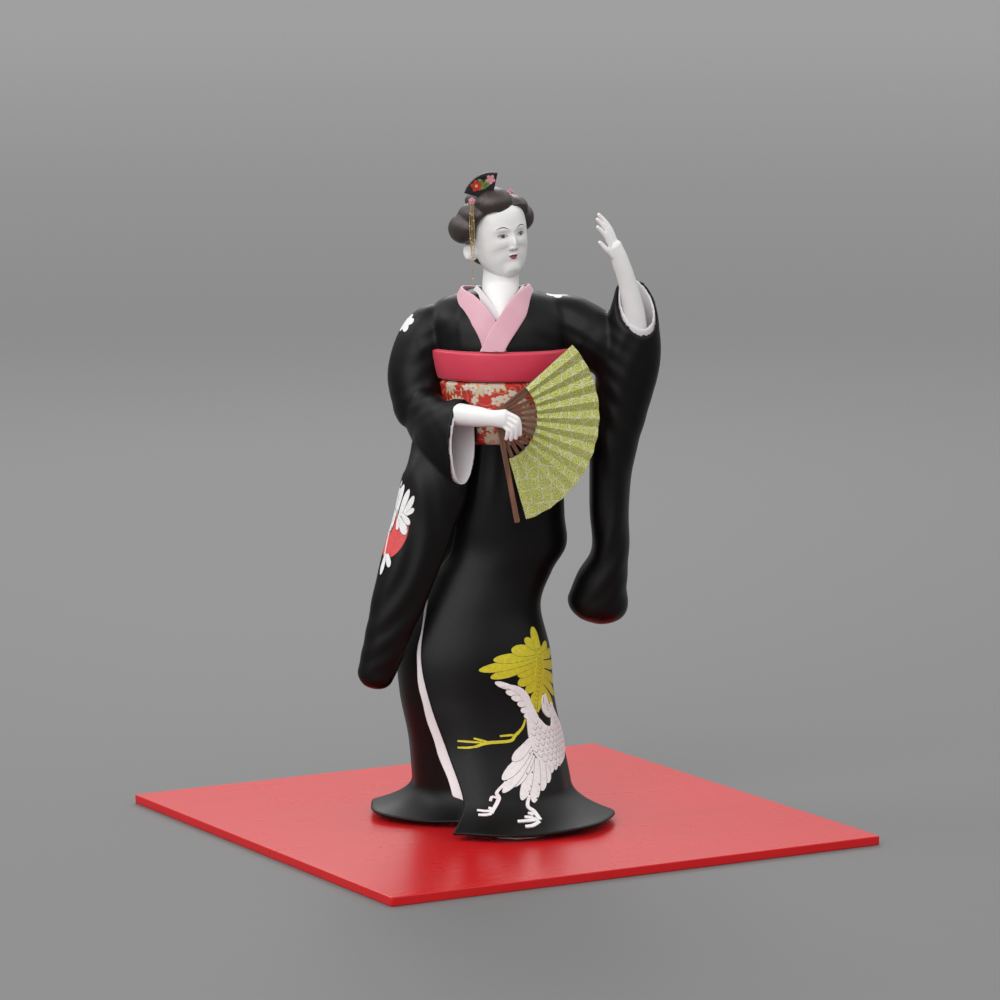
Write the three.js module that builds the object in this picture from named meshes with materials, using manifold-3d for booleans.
// A Japanese dancing doll on a square red board: a geisha in a black crested kimono with long
// hanging sleeves, one hand raised and an open folding fan in the other.
// Units are millimetres. +Z is up, the origin is the middle of the board's underside, and the
// board's sides run along X and Y. The doll is modelled in its own frame, in which it faces -Y
// with +X to the viewer's right, and is then turned on the board.
import * as THREE from "three";
import { mergeVertices } from "three/addons/utils/BufferGeometryUtils.js";
import Module from "manifold-3d";

// Driving dimensions
const BOARD_SIDE = 300;
const BOARD_THICK = 5;
const BOARD_CORNER = 1.5;
const DOLL_TURN = -30; // degrees about +Z
const GAP = 0.3; // air left between pieces that touch
const FLOOR = BOARD_THICK + GAP;

// The kimono's body, from the neck down to the hem: height z, middle (x, y), half-width a and
// half-depth b. The front panel's free edge lies at the angle split, in degrees from +X, and
// stands off the panel under it by (dx, dy).
const ROBE = [
  { z: 295, x: 0, y: 4, a: 12, b: 9, split: 236, dx: 0, dy: 0 },
  { z: 293, x: 0, y: 4, a: 22, b: 13, split: 236, dx: 0, dy: 0 },
  { z: 288.5, x: 0, y: 3, a: 33, b: 16.5, split: 236, dx: 0, dy: 0 },
  { z: 280, x: 0, y: 1, a: 38, b: 22, split: 236, dx: 0, dy: 0 },
  { z: 268, x: 0.5, y: 0, a: 37.5, b: 24.5, split: 236, dx: 0, dy: 0 },
  { z: 255, x: 0.5, y: 0, a: 34, b: 24, split: 236, dx: 0, dy: 0 },
  { z: 240, x: 0.5, y: 0, a: 30.5, b: 22.5, split: 236, dx: 0, dy: 0 },
  { z: 222, x: 0.5, y: 0, a: 29, b: 22, split: 236, dx: 0, dy: 0 },
  { z: 206, x: 0.5, y: 1, a: 30, b: 23, split: 236, dx: 0, dy: 0 },
  { z: 188, x: 0, y: 4, a: 34, b: 27, split: 236, dx: 0, dy: 0 },
  { z: 170, x: -2, y: 7, a: 37, b: 30.5, split: 236, dx: 0, dy: 0 },
  { z: 154, x: -3.5, y: 9, a: 39.5, b: 33, split: 236, dx: 0, dy: 0 },
  { z: 140, x: -9.5, y: 7, a: 38.5, b: 33, split: 232, dx: -2, dy: -1 },
  { z: 122, x: -15, y: 2, a: 38, b: 32, split: 236, dx: -2.5, dy: -3 },
  { z: 98, x: -13.4, y: -3, a: 43, b: 31, split: 239.5, dx: -6, dy: -5.5 },
  { z: 73, x: -11.2, y: 0, a: 43.8, b: 32, split: 247, dx: -7.5, dy: -10 },
  { z: 48, x: -7.6, y: 4, a: 42.8, b: 33.5, split: 248, dx: -3.2, dy: -17 },
  { z: 24, x: -5, y: 6, a: 43.4, b: 36, split: 252, dx: 0, dy: -26 },
  { z: 8, x: -3.5, y: 6, a: 44, b: 37, split: 249, dx: -1, dy: -31 },
];
const WRAP_SHARE = 0.62; // share of the way round over which the front panel's stand-off dies out
const FLARE_TOP = 25;
const HEM_Z = 8;
const HEM_THICK = 1.4;
const HOLLOW_AT = { x: -4, y: -4 }; // the shallow hollow under the hem
const HOLLOW = [{ z: 10.5, a: 33, b: 29 }, { z: 20, a: 31, b: 27 }];
const EDGE_LINING = { steps: 12, from: 12, to: 17, wide: [1, 6], thick: 1 };

// The sleeves and arms, each a swept oval: place (x, y, z), half-width a and half-thickness b.
const RIGHT_UPPER_ARM = [
  { x: -26, y: 3, z: 279, a: 10, b: 10 },
  { x: -38, y: 3, z: 270, a: 15, b: 14 },
  { x: -45, y: 2, z: 250, a: 16, b: 15.5 },
  { x: -43.5, y: -3, z: 232, a: 14.6, b: 14.5 },
];
const RIGHT_CUFF = [
  { x: -43.5, y: -3, z: 232, a: 13, b: 12 },
  { x: -38, y: -18, z: 224, a: 18.5, b: 10 },
  { x: -31, y: -30, z: 217, a: 23, b: 12 },
  { x: -19, y: -38, z: 215, a: 24.8, b: 12.8 },
];
const RIGHT_BAG = [
  { x: -36, y: -24, z: 212, a: 12, b: 10 },
  { x: -34.5, y: -31, z: 196, a: 18, b: 11.5 },
  { x: -41, y: -34, z: 172, a: 17, b: 10.5 },
  { x: -50.5, y: -37, z: 144, a: 15.5, b: 10 },
  { x: -60, y: -38, z: 112, a: 12.5, b: 9.5 },
  { x: -67, y: -37, z: 90, a: 10, b: 9 },
];
const LEFT_UPPER_ARM = [
  { x: 24, y: 3, z: 282.5, a: 10, b: 10 },
  { x: 38, y: 2, z: 276.5, a: 15, b: 14 },
  { x: 54, y: 0, z: 266, a: 16.5, b: 15 },
  { x: 68, y: 0, z: 258, a: 16, b: 14 },
];
const LEFT_BAG = [
  { x: 53.5, y: 6, z: 122.5, a: 16.8, b: 19 },
  { x: 55.5, y: 6, z: 133, a: 14.4, b: 20 },
  { x: 60, y: 5, z: 150, a: 10.4, b: 20 },
  { x: 59.8, y: 4, z: 180, a: 11, b: 19 },
  { x: 61.3, y: 2, z: 205, a: 12.2, b: 18 },
  { x: 65.5, y: 0, z: 232, a: 15.2, b: 17 },
  { x: 70, y: -3, z: 258, a: 17, b: 15.5 },
  { x: 72, y: -5, z: 281, a: 13.5, b: 13 },
  { x: 72, y: -7, z: 296, a: 9.5, b: 9.5 },
];
const LEFT_MOUTH = { x: 74, y: -12, z: 281, turn: 18, lean: 30 }; // the plane that cuts the sleeve open
const RIGHT_MOUTH = { x: -19.5, y: -38, z: 215, turn: 52, lean: 0, beyond: { x: -15, y: -42 } };
const MOUTH_WALL = 2;
const LINING_WALL = 1.1;
const LINING_RISE = 0.7; // how far the lining's edge stands out of the mouth
const LEFT_POCKET = [
  { x: 72.5, y: -4, z: 258, a: 11, b: 9 },
  { x: 73.5, y: -6, z: 272, a: 11.5, b: 10.5 },
  { x: 73.5, y: -8, z: 286, a: 10, b: 9.5 },
  { x: 72.5, y: -11, z: 305, a: 9.5, b: 9.5 },
];

// The obi, the red sash over its top edge, and the drum knot behind
const OBI = { low: 213, high: 246.6, thick: 2.4, swell: 0.4 };
const SASH = { low: 247, high: 263.6, thick: 2.8, swell: 0.5 };
const KNOT = { x: 0.5, y: 36, low: 203, high: 249, a: 24, b: 10 };
const KNOT_TAIL = { low: 188, a: 19, b: 2 };

// The collars: half-width and thickness of each band and the middle line of its two branches,
// from the crossing in front up to the nape. The doll's left branch lies over its right one.
const COLLAR_SUNK = 0.9; // how far a band's inner side lies below its middle line
const BANDS_RISE = [4, 12]; // how far below it the point lies that a band faces away from, front to nape
const OVER_RISE = 0.9; // how much higher the upper branch lies at the crossing
const COLLAR = {
  half: 5.4,
  thick: 1.5,
  lift: 0.7,
  over: [
    [-5.6, -26.5, 260], [-1, -25.4, 270], [4.8, -22.3, 279.3], [10.4, -16, 287.5],
    [15.4, -6.5, 290.8], [17.2, 5, 291.4], [12, 16.5, 289.4], [0, 22.5, 288],
  ],
  under: [
    [-2.2, -24.9, 262], [-5, -24.3, 272], [-9.4, -21.8, 280.3], [-15.6, -15.8, 287],
    [-21.4, -7, 289.8], [-21.4, 4, 290.6], [-13.5, 16.5, 289.2], [0, 22.5, 288],
  ],
};
const INNER_COLLAR = {
  half: 3.8,
  thick: 1.1,
  lift: 0.5,
  over: [
    [0.2, -22.6, 277], [5.6, -18.4, 285.8], [9.8, -11.5, 291.8], [12.4, -3.5, 295.2], [13.2, 4, 295.6],
    [8.5, 13.5, 293], [0, 17.5, 291.5],
  ],
  under: [
    [0.6, -21.4, 277], [-4.8, -18, 285.8], [-9.4, -11.5, 291.8], [-12.6, -3.5, 295.2], [-13.4, 4, 295.6],
    [-8.5, 13.5, 293], [0, 17.5, 291.5],
  ],
};

// The neck with the little of the chest that shows between the collars
const NECK = [
  { x: 1.2, y: -14.5, z: 272, a: 3.5, b: 8.6 },
  { x: 1, y: -10.5, z: 280, a: 7, b: 10.8 },
  { x: 0.5, y: -5, z: 288, a: 9.5, b: 11.5 },
  { x: 0.3, y: 0, z: 296, a: 10, b: 10.2 },
  { x: 0.6, y: 1, z: 305, a: 9.6, b: 9.6 },
  { x: 1, y: 1, z: 316, a: 9.6, b: 10 },
];

// The head in its own frame: the face looks along -Y, z is the height above the chin.
const HEAD_AT = [1.8, 0, 305];
const HEAD_TURN = 30;
const HEAD_LEAN = -7;
const HEAD = [
  { x: 0, y: -10, z: 0.2, a: 5, b: 4.4 },
  { x: 0, y: -7, z: 2.6, a: 9.8, b: 8.8 },
  { x: 0, y: -3, z: 8, a: 13.4, b: 12.9 },
  { x: 0, y: -0.5, z: 15, a: 14.7, b: 15.6 },
  { x: 0, y: 1, z: 23, a: 15.4, b: 17.2 },
  { x: 0, y: 1.6, z: 31, a: 14.6, b: 16.8 },
  { x: 0, y: 1.8, z: 37, a: 11, b: 13.4 },
];
const NOSE = [
  { x: 0, y: -14.6, z: 20.5, a: 1.1, b: 1.2 },
  { x: 0, y: -15.9, z: 15.5, a: 1.5, b: 1.7 },
  { x: 0, y: -16.1, z: 13.2, a: 2.1, b: 1.8 },
];
const EAR = { x: 15.2, y: 6, z: 12.4, rx: 4.2, ry: 4, rz: 5.2 };
// The hair's masses, as middle and radii in the head's frame
const HAIR = [
  { at: [0, 6, 26.5], r: [17, 16.6, 14.8] }, // cap over the skull
  { at: [-4, -3, 36.8], r: [11.8, 12, 9.4] }, // roll over the forehead
  { at: [7.5, -0.5, 33.4], r: [10, 13, 7] }, // its lower end towards the doll's left ear
  { at: [-17.6, 5.8, 25.4], r: [8, 11, 8.3] }, // side wing by the doll's right ear
  { at: [-12.5, 2, 31.5], r: [8.6, 11.5, 7.6] }, // the swell that joins it to the roll
  { at: [15.8, 5, 26.9], r: [7.8, 11.5, 8.4] }, // side wing by the doll's left ear
  { at: [-2, 9, 39], r: [10, 10.5, 5.4] }, // topknot
  { at: [0, 17, 33], r: [8.5, 9, 8] }, // back of the topknot
  { at: [0, 18.6, 13], r: [9.5, 7, 10.5] }, // roll at the nape
];
const HAIRLINE = [ // two balls that cut the hairline, with a point left between them
  { at: [-9, -15, 18.4], r: [12.6, 16, 15] },
  { at: [6.5, -17, 20.5], r: [12.6, 15, 15] },
];

// Hair ornaments, in the doll's frame
const HAIR_FAN = {
  at: [-4.6, -9.5, 343.6], axis: 77.6, tilt: 8, inner: 2.5, outer: 15.5, spread: 86, thick: 1.2,
};
const DROPS = { bead: 1.7, strand: 0.4, pin: 0.5, spread: 1.2, lengths: [27, 30, 42] };
const RIGHT_DROPS_AT = [-15, -17.5, 344];
const LEFT_DROPS_AT = [5.6, 13, 346];

// The folding fan: it spreads in a plane through its pivot, seen from its front
const FAN_AT = [-2.2, -45, 230.8];
const FAN_TURN = 14;
const FAN = { from: -79.2, to: 42, start: 0.042, ribs: 11, inner: 22.8, outer: 57, leaf: 0.7, pleat: 1.1 };
const RIB = { wide: 2.2, heel: 1.6, thick: 0.4, pitch: 0.7, tip: 53 };
const GUARD = { wide: 3, heel: 2, thick: 0.9, tip: 57.6, proud: 0.3 };
const RIVET = { pin: 0.5, hole: 0.85, head: 1.4, rise: 0.6 };

// The arms with their hands; each finger is a short tapered limb
const RIGHT_FOREARM = [
  { x: -37, y: -22, z: 228, a: 5, b: 5 },
  { x: -25, y: -36, z: 230.5, a: 5.2, b: 5.2 },
  { x: -12, y: -49.5, z: 231, a: 4.7, b: 4.2 },
  { x: -4, y: -55, z: 231.5, a: 4.5, b: 3 },
  { x: 3, y: -57.5, z: 231.5, a: 5.2, b: 2.7 },
];
const RIGHT_FINGERS = [
  { from: [3.8, -57.8, 234.4], knee: [9.8, -59, 231], to: [10.8, -57.6, 223] },
  { from: [3.8, -58, 232.4], knee: [8.8, -59.6, 228.8], to: [8.6, -58, 221.2] },
  { from: [3.2, -58, 230.2], knee: [6.8, -59.4, 226.8], to: [6, -57.8, 220.4] },
  { from: [2.2, -57.6, 228.2], knee: [4.4, -58.8, 225.2], to: [3.4, -57.4, 220.8] },
];
const LEFT_FOREARM = [
  { x: 76, y: -7, z: 263, a: 5, b: 5 },
  { x: 72.5, y: -11, z: 283, a: 5.6, b: 5.6 },
  { x: 68.2, y: -15, z: 301, a: 4.8, b: 4.9 },
  { x: 64.6, y: -17, z: 312, a: 5, b: 4.5 },
  { x: 61.8, y: -18, z: 320, a: 5.3, b: 3.6 },
];
const LEFT_FINGERS = [
  { from: [62.4, -15.4, 320.5], knee: [59.2, -15.6, 329], to: [54, -17, 335.6] },
  { from: [62.2, -17.4, 321], knee: [58.4, -18, 330.4], to: [53, -19.4, 337] },
  { from: [61.4, -19.4, 320.5], knee: [57.2, -20.4, 329], to: [52.2, -21.8, 334.6] },
  { from: [60.4, -21, 319], knee: [56.6, -22.4, 326], to: [52.4, -23.8, 330.6] },
  { from: [61, -19.8, 314], knee: [57.2, -22.3, 318.4], to: [53.6, -23.2, 322.4] },
];
const FINGER_RADIUS = 1.35;

const wasm = await Module();
wasm.setup();

const radians = THREE.MathUtils.degToRad;
const lerp = THREE.MathUtils.lerp;
const vector = (p) => new THREE.Vector3(...p);

// A closed geometry as a solid, its faces turned out if its sections ran the other way round.
function solidOf(geometry) {
  const bare = new THREE.BufferGeometry().setAttribute("position", geometry.getAttribute("position"));
  if (geometry.index) bare.setIndex(geometry.index);
  const merged = mergeVertices(bare, 1e-4);
  const triVerts = new Uint32Array(merged.index.array);
  const vertProperties = merged.attributes.position.array;
  const solid = new wasm.Manifold(new wasm.Mesh({ numProp: 3, vertProperties, triVerts }));
  if (solid.volume() >= 0) return solid;
  for (let i = 0; i < triVerts.length; i += 3) {
    [triVerts[i + 1], triVerts[i + 2]] = [triVerts[i + 2], triVerts[i + 1]];
  }
  return new wasm.Manifold(new wasm.Mesh({ numProp: 3, vertProperties, triVerts }));
}

// A solid skinned over a row of closed rings with equal counts. Each end is closed by a fan, or
// the last ring meets the first when it is joined.
function loft(rings, joined = false) {
  const count = rings[0].length;
  const middleOf = (ring) => ring.reduce((sum, p) => sum.add(p), new THREE.Vector3()).divideScalar(count);
  const ends = joined ? [] : [middleOf(rings[0]), middleOf(rings[rings.length - 1])];
  const points = [...rings.flat(), ...ends];
  const [startMiddle, endMiddle, lastRow] = [points.length - 2, points.length - 1, rings.length - 1];
  const faces = [];
  for (let k = 0; k < count; k++) {
    const next = (k + 1) % count;
    for (let row = 0; row < lastRow + (joined ? 1 : 0); row++) {
      const far = ((row + 1) % rings.length) * count;
      const [a, b] = [row * count + k, row * count + next];
      faces.push(a, b, far + next, a, far + next, far + k);
    }
    if (joined) continue;
    faces.push(startMiddle, next, k, endMiddle, lastRow * count + k, lastRow * count + next);
  }
  const geometry = new THREE.BufferGeometry().setFromPoints(points).setIndex(faces);
  return solidOf(geometry);
}

function meshOf(solid, name, material) {
  const made = solid.getMesh();
  const places = new Float32Array(made.numVert * 3);
  for (let i = 0; i < made.numVert; i++) {
    places.set(made.vertProperties.subarray(i * made.numProp, i * made.numProp + 3), i * 3);
  }
  const geometry = new THREE.BufferGeometry()
    .setAttribute("position", new THREE.BufferAttribute(places, 3))
    .setIndex(new THREE.BufferAttribute(new Uint32Array(made.triVerts), 1));
  geometry.computeVertexNormals();
  const mesh = new THREE.Mesh(geometry, material);
  mesh.name = name;
  return mesh;
}

const join = (solids) => solids.reduce((all, one) => all.add(one));

// A superellipse's point: power 2 is an ellipse, and more is squarer.
function oval(angle, power = 2) {
  const [c, s] = [Math.cos(angle), Math.sin(angle)];
  return [Math.sign(c) * Math.abs(c) ** (2 / power), Math.sign(s) * Math.abs(s) ** (2 / power)];
}

// The stations' places and sizes as smooth curves that share one parameter
function curvesOf(stations) {
  const curve = (pick) => new THREE.CatmullRomCurve3(stations.map(pick), false, "catmullrom", 0.5);
  return {
    place: curve((s) => new THREE.Vector3(s.x, s.y, s.z)),
    size: curve((s) => new THREE.Vector3(s.a, s.b, 0)),
  };
}

// A limb is an oval swept through its stations, with a along the wide direction, grown all
// round by grow, and with its two ends domed.
function limb(stations, wide, { steps = 10, sides = 16, grow = 0, power = 2, domes = [1, 1] } = {}) {
  const { place, size } = curvesOf(stations);
  const rings = [];
  const ring = (t, push, scale) => {
    const along = place.getTangent(t).normalize();
    const across = vector(wide).addScaledVector(along, -along.dot(vector(wide))).normalize();
    const third = new THREE.Vector3().crossVectors(along, across);
    const middle = place.getPoint(t).addScaledVector(along, push);
    const half = size.getPoint(t).addScalar(grow);
    rings.push(
      Array.from({ length: sides }, (_, k) => {
        const [c, s] = oval((k / sides) * 2 * Math.PI, power);
        return middle.clone()
          .addScaledVector(across, half.x * c * scale)
          .addScaledVector(third, half.y * s * scale);
      }),
    );
  };
  const domeSteps = 2;
  const dome = (t, side, tall) => {
    const half = size.getPoint(t).addScalar(grow);
    const reach = Math.min(half.x, half.y) * tall;
    for (let k = 1; k <= domeSteps; k++) {
      const angle = (k / (domeSteps + 0.4)) * (Math.PI / 2);
      ring(t, side * reach * Math.sin(angle), Math.cos(angle));
    }
  };
  if (domes[0]) {
    dome(0, -1, domes[0]);
    rings.reverse();
  }
  for (let j = 0; j <= steps; j++) ring(j / steps, 0, 1);
  if (domes[1]) dome(1, 1, domes[1]);
  return loft(rings);
}

function ball(at, radii, around = 20) {
  const geometry = new THREE.SphereGeometry(1, around, Math.round(around * 0.6));
  geometry.scale(...radii).translate(...at);
  return solidOf(geometry);
}

function extruded(outline, depth, curveSegments) {
  return new THREE.ExtrudeGeometry(outline, { depth, bevelEnabled: false, curveSegments });
}

function moved(solid, object) {
  object.updateMatrix();
  return solid.transform(object.matrix.elements);
}

// The robe's station at a height, read off the smooth curve through ROBE
const robeCurves = {
  ...curvesOf(ROBE),
  standOff: new THREE.CatmullRomCurve3(
    ROBE.map((s) => new THREE.Vector3(s.dx, s.dy, s.split)), false, "catmullrom", 0.5),
};
function robeAt(t) {
  return {
    place: robeCurves.place.getPoint(t),
    size: robeCurves.size.getPoint(t),
    off: robeCurves.standOff.getPoint(t),
  };
}

const ROUND_STEPS = 28;
const ROBE_STEPS = 25;
const ROBE_POWER = 2.15;
const BELT_EASE = 0.3; // what a belt adds to its gap, because it spans the waist's curve straight
const BELT_ROOT = 2; // how far a belt's cutter reaches into the robe
const CLOTH = 0.6; // the least by which the front panel stands off the one under it

// One ring of the robe, from the front panel's free edge round the back to the under panel, which
// ends behind that edge. The step between the two is the panel's edge.
function robeRing(t, grow = 0, flare = 0) {
  const { place, size, off } = robeAt(t);
  return Array.from({ length: ROUND_STEPS + 1 }, (_, k) => {
    const share = k / ROUND_STEPS;
    const angle = radians(off.z) - grow / size.x + share * 2 * Math.PI;
    const [c, s] = oval(angle, ROBE_POWER);
    const weight = 1 - THREE.MathUtils.smoothstep(share, 0, WRAP_SHARE);
    const reach = flare * flareReach(angle) + CLOTH * weight;
    return new THREE.Vector3(
      place.x + (size.x + grow) * c + off.x * weight + reach * Math.cos(angle),
      place.y + (size.y + grow) * s + off.y * weight + reach * Math.sin(angle),
      place.z + flare * hemLift(angle),
    );
  });
}

// How far the hem flares out beyond the robe, and how far it lifts off the board
function flareReach(angle) {
  const left = Math.max(0, -Math.cos(angle)) ** 3;
  const right = Math.max(0, Math.cos(angle + radians(25))) ** 3;
  return 10 + 15.3 * left + 13.3 * right + 1.3 * Math.cos(5 * angle + 0.6) + 0.7 * Math.cos(9 * angle);
}
function hemLift(angle) {
  const left = Math.max(0, -Math.cos(angle)) ** 2;
  const right = Math.max(0, Math.cos(angle + radians(25))) ** 2;
  return 0.9 + left + 1.3 * right + 0.6 * Math.cos(5 * angle + 2.4);
}

function robeSolid(grow = 0) {
  const rings = [];
  for (let j = 0; j <= ROBE_STEPS; j++) {
    const t = j / ROBE_STEPS;
    const { z } = robeAt(t).place;
    const flare = z > FLARE_TOP ? 0 : ((FLARE_TOP - z) / (FLARE_TOP - HEM_Z)) ** 2;
    rings.push(robeRing(t, grow, flare));
  }
  if (grow) return loft(rings);
  const rim = rings[ROBE_STEPS];
  rings.push(rim.map((p) => p.clone().setZ(p.z - HEM_THICK)));
  for (const { z, a, b } of HOLLOW) {
    rings.push(rim.map((_, k) => {
      const angle = radians(ROBE[ROBE.length - 1].split) + (k / rim.length) * 2 * Math.PI;
      return new THREE.Vector3(HOLLOW_AT.x + a * Math.cos(angle), HOLLOW_AT.y + b * Math.sin(angle), z);
    }));
  }
  return loft(rings);
}

// The box that a sleeve mouth's plane leaves outside
function beyondPlane(at) {
  const size = 60;
  const box = solidOf(new THREE.BoxGeometry(size, size, size).translate(0, -size / 2, 0));
  const frame = new THREE.Object3D();
  frame.rotation.order = "ZXY";
  frame.rotation.set(radians(-at.lean), 0, radians(at.turn));
  frame.position.set(at.x, at.y, at.z);
  return moved(box, frame);
}

function neckSolid(grow = 0) {
  return limb(NECK, [1, 0, 0], { steps: 6, sides: 12, grow, domes: [0, 0] });
}

function placedHead(solid) {
  const frame = new THREE.Object3D();
  frame.rotation.order = "YXZ";
  frame.rotation.set(0, radians(HEAD_LEAN), radians(HEAD_TURN));
  frame.position.set(...HEAD_AT);
  return moved(solid, frame);
}

function headSolid(grow = 0) {
  const ears = [-1, 1].map((side) =>
    ball([side * EAR.x, EAR.y, EAR.z], [EAR.rx + grow, EAR.ry + grow, EAR.rz + grow], 6));
  const skull = limb(HEAD, [1, 0, 0], { steps: 7, sides: 14, grow, domes: [0.4, 0.4] });
  const nose = limb(NOSE, [1, 0, 0], { steps: 2, sides: 6, grow });
  return placedHead(join([skull, nose, ...ears]));
}

function hairSolid(grow = 0) {
  const masses = HAIR.map(({ at, r }) => ball(at, r.map((x) => x + grow), 12));
  const cuts = HAIRLINE.map(({ at, r }) => ball(at, r.map((x) => x - grow), 16));
  return placedHead(join(masses).subtract(join(cuts)));
}

// A band wrapped on the robe: each branch is a flat section swept along its middle line
function collarSolid(band, grow = 0) {
  const branch = (line, extra) => {
    const curve = new THREE.CatmullRomCurve3(line.map(vector), false, "catmullrom", 0.5);
    const steps = 9;
    const rings = [];
    for (let j = 0; j <= steps; j++) {
      const t = j / steps;
      const p = curve.getPoint(t);
      const along = curve.getTangent(t).normalize();
      const out = p.clone().sub(new THREE.Vector3(0, 1, p.z - lerp(...BANDS_RISE, t)));
      out.addScaledVector(along, -out.dot(along)).normalize();
      const across = new THREE.Vector3().crossVectors(along, out);
      const [half, low, high] = [band.half + grow, -COLLAR_SUNK - grow, band.thick - COLLAR_SUNK + grow];
      const lift = band.lift + extra * (1 - t);
      rings.push([[-half, low], [half, low], [half, high], [-half, high]].map(([w, h]) =>
        p.clone().addScaledVector(across, w).addScaledVector(out, h + lift)));
    }
    return loft(rings);
  };
  return branch(band.under, 0).add(branch(band.over, OVER_RISE));
}

// A belt round the robe between two heights, grown all round by grow
function beltSolid({ low, high, thick, swell }, grow = 0) {
  const rows = 2;
  const shareAt = (z) => {
    let [near, far] = [0, 1];
    for (let k = 0; k < 24; k++) {
      const mid = (near + far) / 2;
      if (robeAt(mid).place.z > z) near = mid;
      else far = mid;
    }
    return near;
  };
  const wall = (offset, bulge) => Array.from({ length: rows + 1 }, (_, row) => {
    const z = lerp(high + grow, low - grow, row / rows);
    return robeRing(shareAt(z), offset + bulge * Math.sin((row / rows) * Math.PI));
  });
  const outer = wall(GAP + thick + grow, swell);
  const inner = wall(grow ? -BELT_ROOT : GAP + BELT_EASE, 0).reverse();
  const columns = [...outer, ...inner];
  const around = Array.from({ length: ROUND_STEPS }, (_, k) => columns.map((ring) => ring[k]));
  return loft(around, true);
}

function boardSolid() {
  const half = BOARD_SIDE / 2;
  const square = new THREE.Shape();
  square.moveTo(-half + BOARD_CORNER, -half);
  for (const [x, y, start] of [[1, -1, -90], [1, 1, 0], [-1, 1, 90], [-1, -1, 180]]) {
    square.absarc(x * (half - BOARD_CORNER), y * (half - BOARD_CORNER), BOARD_CORNER,
      radians(start), radians(start + 90), false);
  }
  return solidOf(extruded(square, BOARD_THICK, 2));
}

// The white robe under the kimono: it fills the hollow under the hem and shows as a thin edge
function underRobeSolid() {
  const levels = [
    { x: 9, y: -22, z: FLOOR, a: 26, b: 44.5 },
    { x: 9, y: -22, z: FLOOR + 1.2, a: 26, b: 44.5 },
    { ...HOLLOW_AT, z: 8.6, a: 31.5, b: 27.5 },
    { ...HOLLOW_AT, z: HOLLOW[1].z - GAP, a: 29.8, b: 25.8 },
  ];
  const rings = levels.map(({ x, y, z, a, b }) => Array.from({ length: 32 }, (_, k) => {
    const angle = (k / 32) * 2 * Math.PI;
    return new THREE.Vector3(x + a * Math.cos(angle), y + b * Math.sin(angle), z);
  }));
  return loft(rings);
}

// The white lining that peeps out along the front panel's free edge
function edgeLiningSolid() {
  const { steps, from, to, wide, thick } = EDGE_LINING;
  const rings = Array.from({ length: steps + 1 }, (_, j) => {
    const t = lerp(from, to, j / steps) / (ROBE.length - 1);
    const [edge, next] = robeRing(t);
    const { place } = robeAt(t);
    const left = edge.clone().sub(next).setZ(0).normalize();
    const inward = new THREE.Vector3(place.x - edge.x, place.y - edge.y, 0).normalize();
    const reach = lerp(wide[0], wide[1], (j / steps) ** 1.6);
    const at = (w, h) => edge.clone().addScaledVector(left, w).addScaledVector(inward, h);
    return [at(-1.5, 0.6), at(reach, 0.2), at(reach, 0.2 + thick), at(-1.5, 0.6 + thick)];
  });
  return loft(rings);
}

// The obi's big knot behind: a flat drum with a short tail under it
function drumKnotSolid() {
  const { x, y, low, high, a, b } = KNOT;
  const shape = [[low, 0.96, 0.8], [low + 8, 1, 1], [high - 10, 1, 0.9], [high, 0.94, 0.62]];
  const levels = shape.map(([z, wide, deep]) => ({ x, y, z, a: a * wide, b: b * deep }));
  const drum = limb(levels, [1, 0, 0], { steps: 4, sides: 12, power: 4, domes: [0.5, 0.6] });
  const tailEnd = (dy, z) => ({ x, y: y + dy, z, a: KNOT_TAIL.a, b: KNOT_TAIL.b });
  const tail = [tailEnd(-3, KNOT_TAIL.low), tailEnd(-4, low + 6)];
  return drum.add(limb(tail, [1, 0, 0], { steps: 2, sides: 12, power: 6, domes: [0.3, 0] }));
}

// A hand: the forearm runs on into the palm, and the fingers bend at one knuckle
function handSolid(forearm, wide, fingers) {
  const arm = limb(forearm, wide, { steps: 5, sides: 8, domes: [0, 0.8] });
  const joint = ([x, y, z], share) => ({ x, y, z, a: FINGER_RADIUS * share, b: FINGER_RADIUS * share });
  const digits = fingers.map(({ from, knee, to }) =>
    limb([joint(from, 1.15), joint(knee, 1), joint(to, 0.75)], [0.3, 1, 0.2], { steps: 3, sides: 5 }));
  return join([arm, ...digits]);
}

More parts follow.
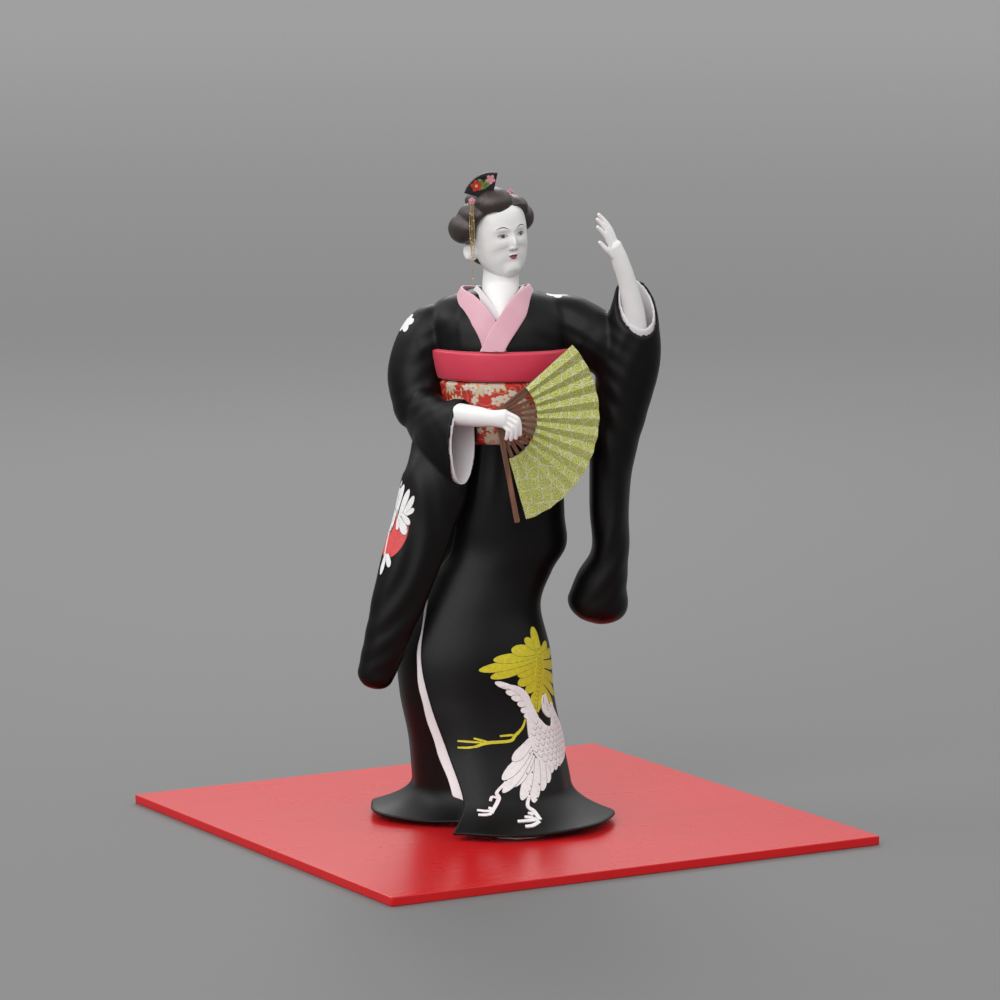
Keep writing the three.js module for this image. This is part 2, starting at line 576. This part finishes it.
// The fan's parts, in a frame where its front faces -Y, X is across and Z is up. The ribs turn on
// one rivet, each a little behind the last.
function fanSolids() {
  const frame = new THREE.Object3D();
  frame.rotation.z = radians(FAN_TURN);
  frame.position.set(...FAN_AT);
  const polar = (radius, angle, y) =>
    new THREE.Vector3(radius * Math.cos(angle), y, radius * Math.sin(angle));
  const depth = (share) => lerp(-1, 1, share) * (RIB.pitch * (FAN.ribs + 1)) / 2;
  const angleAt = (share) => radians(lerp(FAN.from, FAN.to, share));
  const blade = (angle, y, { wide, heel, thick, tip }) => {
    const outline = new THREE.Shape();
    outline.moveTo(tip, -wide / 2);
    outline.lineTo(tip, wide / 2);
    outline.absarc(0, 0, heel, Math.PI / 2, 1.5 * Math.PI, false);
    const hole = new THREE.Path();
    hole.absarc(0, 0, RIVET.hole, 0, 2 * Math.PI, true);
    outline.holes.push(hole);
    const geometry = extruded(outline, thick, 3);
    geometry.rotateX(Math.PI / 2).translate(0, thick / 2, 0).rotateY(-angle).translate(0, y, 0);
    return moved(solidOf(geometry), frame);
  };
  const ribs = Array.from({ length: FAN.ribs }, (_, k) => {
    const share = (k + 1) / (FAN.ribs + 1);
    return blade(angleAt(share), depth(share), RIB);
  });
  const guards = [
    blade(angleAt(0), depth(0) - GUARD.proud, GUARD),
    blade(angleAt(0.97), depth(1) + GUARD.proud, { ...GUARD, tip: FAN.outer - 0.5 }),
  ];
  // The leaf is pasted on the front of the ribs and follows them, pleat by pleat.
  const folds = 2 * (FAN.ribs + 1);
  const rings = Array.from({ length: folds + 1 }, (_, k) => {
    const share = lerp(FAN.start, 0.99, k / folds);
    const front = depth(share) - RIB.thick / 2 - GAP - (k % 2 ? FAN.pleat : 0);
    const angle = angleAt(share);
    return [
      polar(FAN.inner, angle, front), polar(FAN.outer, angle, front),
      polar(FAN.outer, angle, front - FAN.leaf), polar(FAN.inner, angle, front - FAN.leaf),
    ];
  });
  const leaf = moved(loft(rings), frame);
  const reach = depth(1) + GUARD.proud + GUARD.thick / 2 + GAP;
  const half = [[0, 0], [RIVET.head, 0], [RIVET.head, RIVET.rise], [RIVET.pin, RIVET.rise]];
  const profile = [
    ...half.map(([r, y]) => new THREE.Vector2(r, y - reach - RIVET.rise)),
    ...half.map(([r, y]) => new THREE.Vector2(r, reach + RIVET.rise - y)).reverse(),
  ];
  const rivet = moved(solidOf(new THREE.LatheGeometry(profile, 8)), frame);
  return { ribs, guards, leaf, rivet };
}

// The lacquered fan comb: a sector tipped about its right edge, on a short pin in the hair
function hairFanSolid(hairWithGap) {
  const { at, axis, tilt, inner, outer, spread, thick } = HAIR_FAN;
  const sector = new THREE.Shape();
  sector.absarc(0, 0, outer, 0, radians(spread), false);
  sector.absarc(0, 0, inner, radians(spread), 0, true);
  const plate = extruded(sector, thick, 9);
  const pinEnd = (far) => ({ x: far, y: far, z: thick / 2, a: 0.7, b: 0.45 });
  const pin = limb([pinEnd(1.8), pinEnd(-6)], [0, 0, 1], { steps: 2, sides: 6 });
  const frame = new THREE.Object3D();
  const right = new THREE.Vector3(Math.cos(radians(axis)), 0, Math.sin(radians(axis)));
  const rise = new THREE.Vector3(-right.z * Math.cos(radians(tilt)), -Math.sin(radians(tilt)),
    right.x * Math.cos(radians(tilt)));
  frame.setRotationFromMatrix(new THREE.Matrix4().makeBasis(right, rise, right.clone().cross(rise)));
  frame.position.set(...at);
  return moved(solidOf(plate).add(pin), frame).subtract(hairWithGap);
}

// A flower bead on a pin that runs inwards, with fine drops that hang from it
function dropsSolid([x, y, z], [inX, inY, inZ], hairWithGap) {
  const { bead, strand, pin, spread, lengths } = DROPS;
  const stop = (dx, dy, dz, radius) => ({ x: x + dx, y: y + dy, z: z + dz, a: radius, b: radius });
  const stem = limb([stop(0, 0, 0, pin), stop(inX, inY, inZ, pin)], [0, 0, 1], { steps: 2, sides: 6 });
  const strands = lengths.map((length, k) => {
    const side = (k - 1) * spread;
    const stops = [[side * 0.5, -0.5], [side, -length * 0.5], [side * 0.4, -length]];
    return limb(stops.map(([dx, dz]) => stop(dx, -0.2, dz, strand)), [1, 0, 0], { steps: 2, sides: 4 });
  });
  const flower = ball([x, y, z], [bead, bead * 0.8, bead], 8);
  return join([flower, stem, ...strands]).subtract(hairWithGap);
}

// What a cut leaves of a piece, without the crumbs
function largest(solid) {
  return solid.decompose().reduce((most, one) => (one.volume() > most.volume() ? one : most));
}

const finish = (color, roughness, metalness = 0) =>
  new THREE.MeshStandardMaterial({ color, roughness, metalness });
const BLACK_SILK = finish(0x141214, 0.55);
const RED_BOARD = finish(0xb0141a, 0.45);
const WHITE_SILK = finish(0xe6dfe2, 0.7);
const PINK_SILK = finish(0xe6a9c2, 0.7);
const RED_SASH = finish(0xd2304f, 0.45);
const BROCADE = finish(0xc03020, 0.6);
const WHITE_SHELL = finish(0xeeeeec, 0.45);
const DARK_HAIR = finish(0x3a2f30, 0.4);
const LACQUER = finish(0x0c0b0c, 0.2);
const GILT = finish(0xc9a84a, 0.35, 0.8);
const FAN_PAPER = finish(0xc6cb5a, 0.75);
const BAMBOO = finish(0x70503f, 0.6);

const part = new THREE.Group();
const doll = new THREE.Group();
doll.rotation.z = radians(DOLL_TURN);
part.add(doll, meshOf(boardSolid(), "base_board", RED_BOARD));
const dress = (name, material, solid) => doll.add(meshOf(largest(solid), name, material));

// The hollow in each sleeve's mouth, and the lining, which is a thin cup inside it
const rightPocket = (wall) => {
  const stations = [RIGHT_CUFF[1], RIGHT_CUFF[2], { ...RIGHT_CUFF[3], ...RIGHT_MOUTH.beyond }];
  return limb(stations, [0, 0, 1], { steps: 4, sides: 10, grow: -wall, domes: [0.6, 0] });
};
const leftPocket = (wall) =>
  limb(LEFT_POCKET, [1, 0, 0], { steps: 4, sides: 10, grow: -wall, domes: [0.6, 0] });
function liningCup(pocket, wall, mouth, grow = 0) {
  const cup = pocket(wall + GAP - grow).subtract(pocket(wall + GAP + LINING_WALL + grow));
  return cup.subtract(beyondPlane({ ...mouth, y: mouth.y - LINING_RISE - grow }));
}

const rightUpperArm = (grow) => limb(RIGHT_UPPER_ARM, [1, 0, 0], { steps: 5, sides: 12, grow });
const leftUpperArm = (grow) => limb(LEFT_UPPER_ARM, [0, 0, 1], { steps: 4, sides: 12, grow });
const rightBag = (grow) =>
  limb(RIGHT_BAG, [1, 0, 0], { steps: 7, sides: 12, power: 2.3, grow, domes: [1, 0.9] });
const rightForearm = (grow) =>
  limb(RIGHT_FOREARM, [0, 0, 1], { steps: 5, sides: 8, grow, domes: [0.5, 0] });
const rightSleeve = join([
  rightUpperArm(0),
  limb(RIGHT_CUFF, [0, 0, 1], { steps: 5, sides: 12, domes: [1, 0] }),
  rightBag(0),
]).subtract(beyondPlane(RIGHT_MOUTH)).subtract(rightPocket(MOUTH_WALL)).subtract(rightForearm(GAP));
const leftSleeve = leftUpperArm(0)
  .add(limb(LEFT_BAG, [1, 0, 0], { steps: 10, sides: 12, power: 2.3, domes: [0.7, 0.5] }))
  .subtract(beyondPlane(LEFT_MOUTH)).subtract(leftPocket(0));

// Each piece that touches another is cut back from it, grown by the gap.
const robeCutter = robeSolid(GAP);
const neckCutter = neckSolid(GAP);
const beltCutter = beltSolid(OBI, GAP).add(beltSolid(SASH, GAP));
const underSash = solidOf(new THREE.BoxGeometry(80, 40, 30).translate(0, -30, SASH.high + GAP - 15));
const collarCutter = join([robeCutter, neckCutter, underSash, rightUpperArm(GAP), leftUpperArm(GAP)]);
const hairCutter = hairSolid(GAP);
const sleeves = rightSleeve.add(leftSleeve).subtract(beltCutter);

dress("kimono", BLACK_SILK, robeSolid().add(sleeves).subtract(neckCutter));
dress("under_kimono", WHITE_SILK, underRobeSolid());
dress("edge_lining", WHITE_SILK, edgeLiningSolid().subtract(robeCutter).subtract(rightBag(GAP)));
dress("collar", PINK_SILK, collarSolid(COLLAR).subtract(collarCutter).subtract(beltCutter));
dress("inner_collar", WHITE_SILK,
  collarSolid(INNER_COLLAR).subtract(collarCutter).subtract(collarSolid(COLLAR, GAP)));
dress("obi", BROCADE, beltSolid(OBI));
dress("sash", RED_SASH, beltSolid(SASH));
dress("obi_knot", BROCADE, drumKnotSolid().subtract(beltCutter).subtract(robeCutter));
dress("right_sleeve_lining", WHITE_SILK,
  liningCup(rightPocket, MOUTH_WALL, RIGHT_MOUTH).subtract(beltCutter).subtract(rightForearm(GAP)));
dress("left_sleeve_lining", WHITE_SILK, liningCup(leftPocket, 0, LEFT_MOUTH));

dress("head", WHITE_SHELL, neckSolid().add(headSolid()));
dress("hair", DARK_HAIR, hairSolid().subtract(headSolid(GAP)).subtract(neckCutter));
dress("hair_fan", LACQUER, hairFanSolid(hairCutter));
dress("right_hair_drops", GILT, dropsSolid(RIGHT_DROPS_AT, [4, 8, -3], hairCutter));
dress("left_hair_drops", GILT, dropsSolid(LEFT_DROPS_AT, [-3, -6, -4], hairCutter));
dress("right_hand", WHITE_SHELL, handSolid(RIGHT_FOREARM, [0, 0, 1], RIGHT_FINGERS));
dress("left_hand", WHITE_SHELL,
  handSolid(LEFT_FOREARM, [0.3, 1, 0], LEFT_FINGERS).subtract(liningCup(leftPocket, 0, LEFT_MOUTH, GAP)));

const fan = fanSolids();
dress("fan_leaf", FAN_PAPER, fan.leaf);
dress("fan_rivet", GILT, fan.rivet);
fan.ribs.forEach((rib, k) => dress(`fan_rib_${k + 1}`, BAMBOO, rib));
fan.guards.forEach((guard, k) => dress(`fan_guard_${k + 1}`, BAMBOO, guard));

export default part;
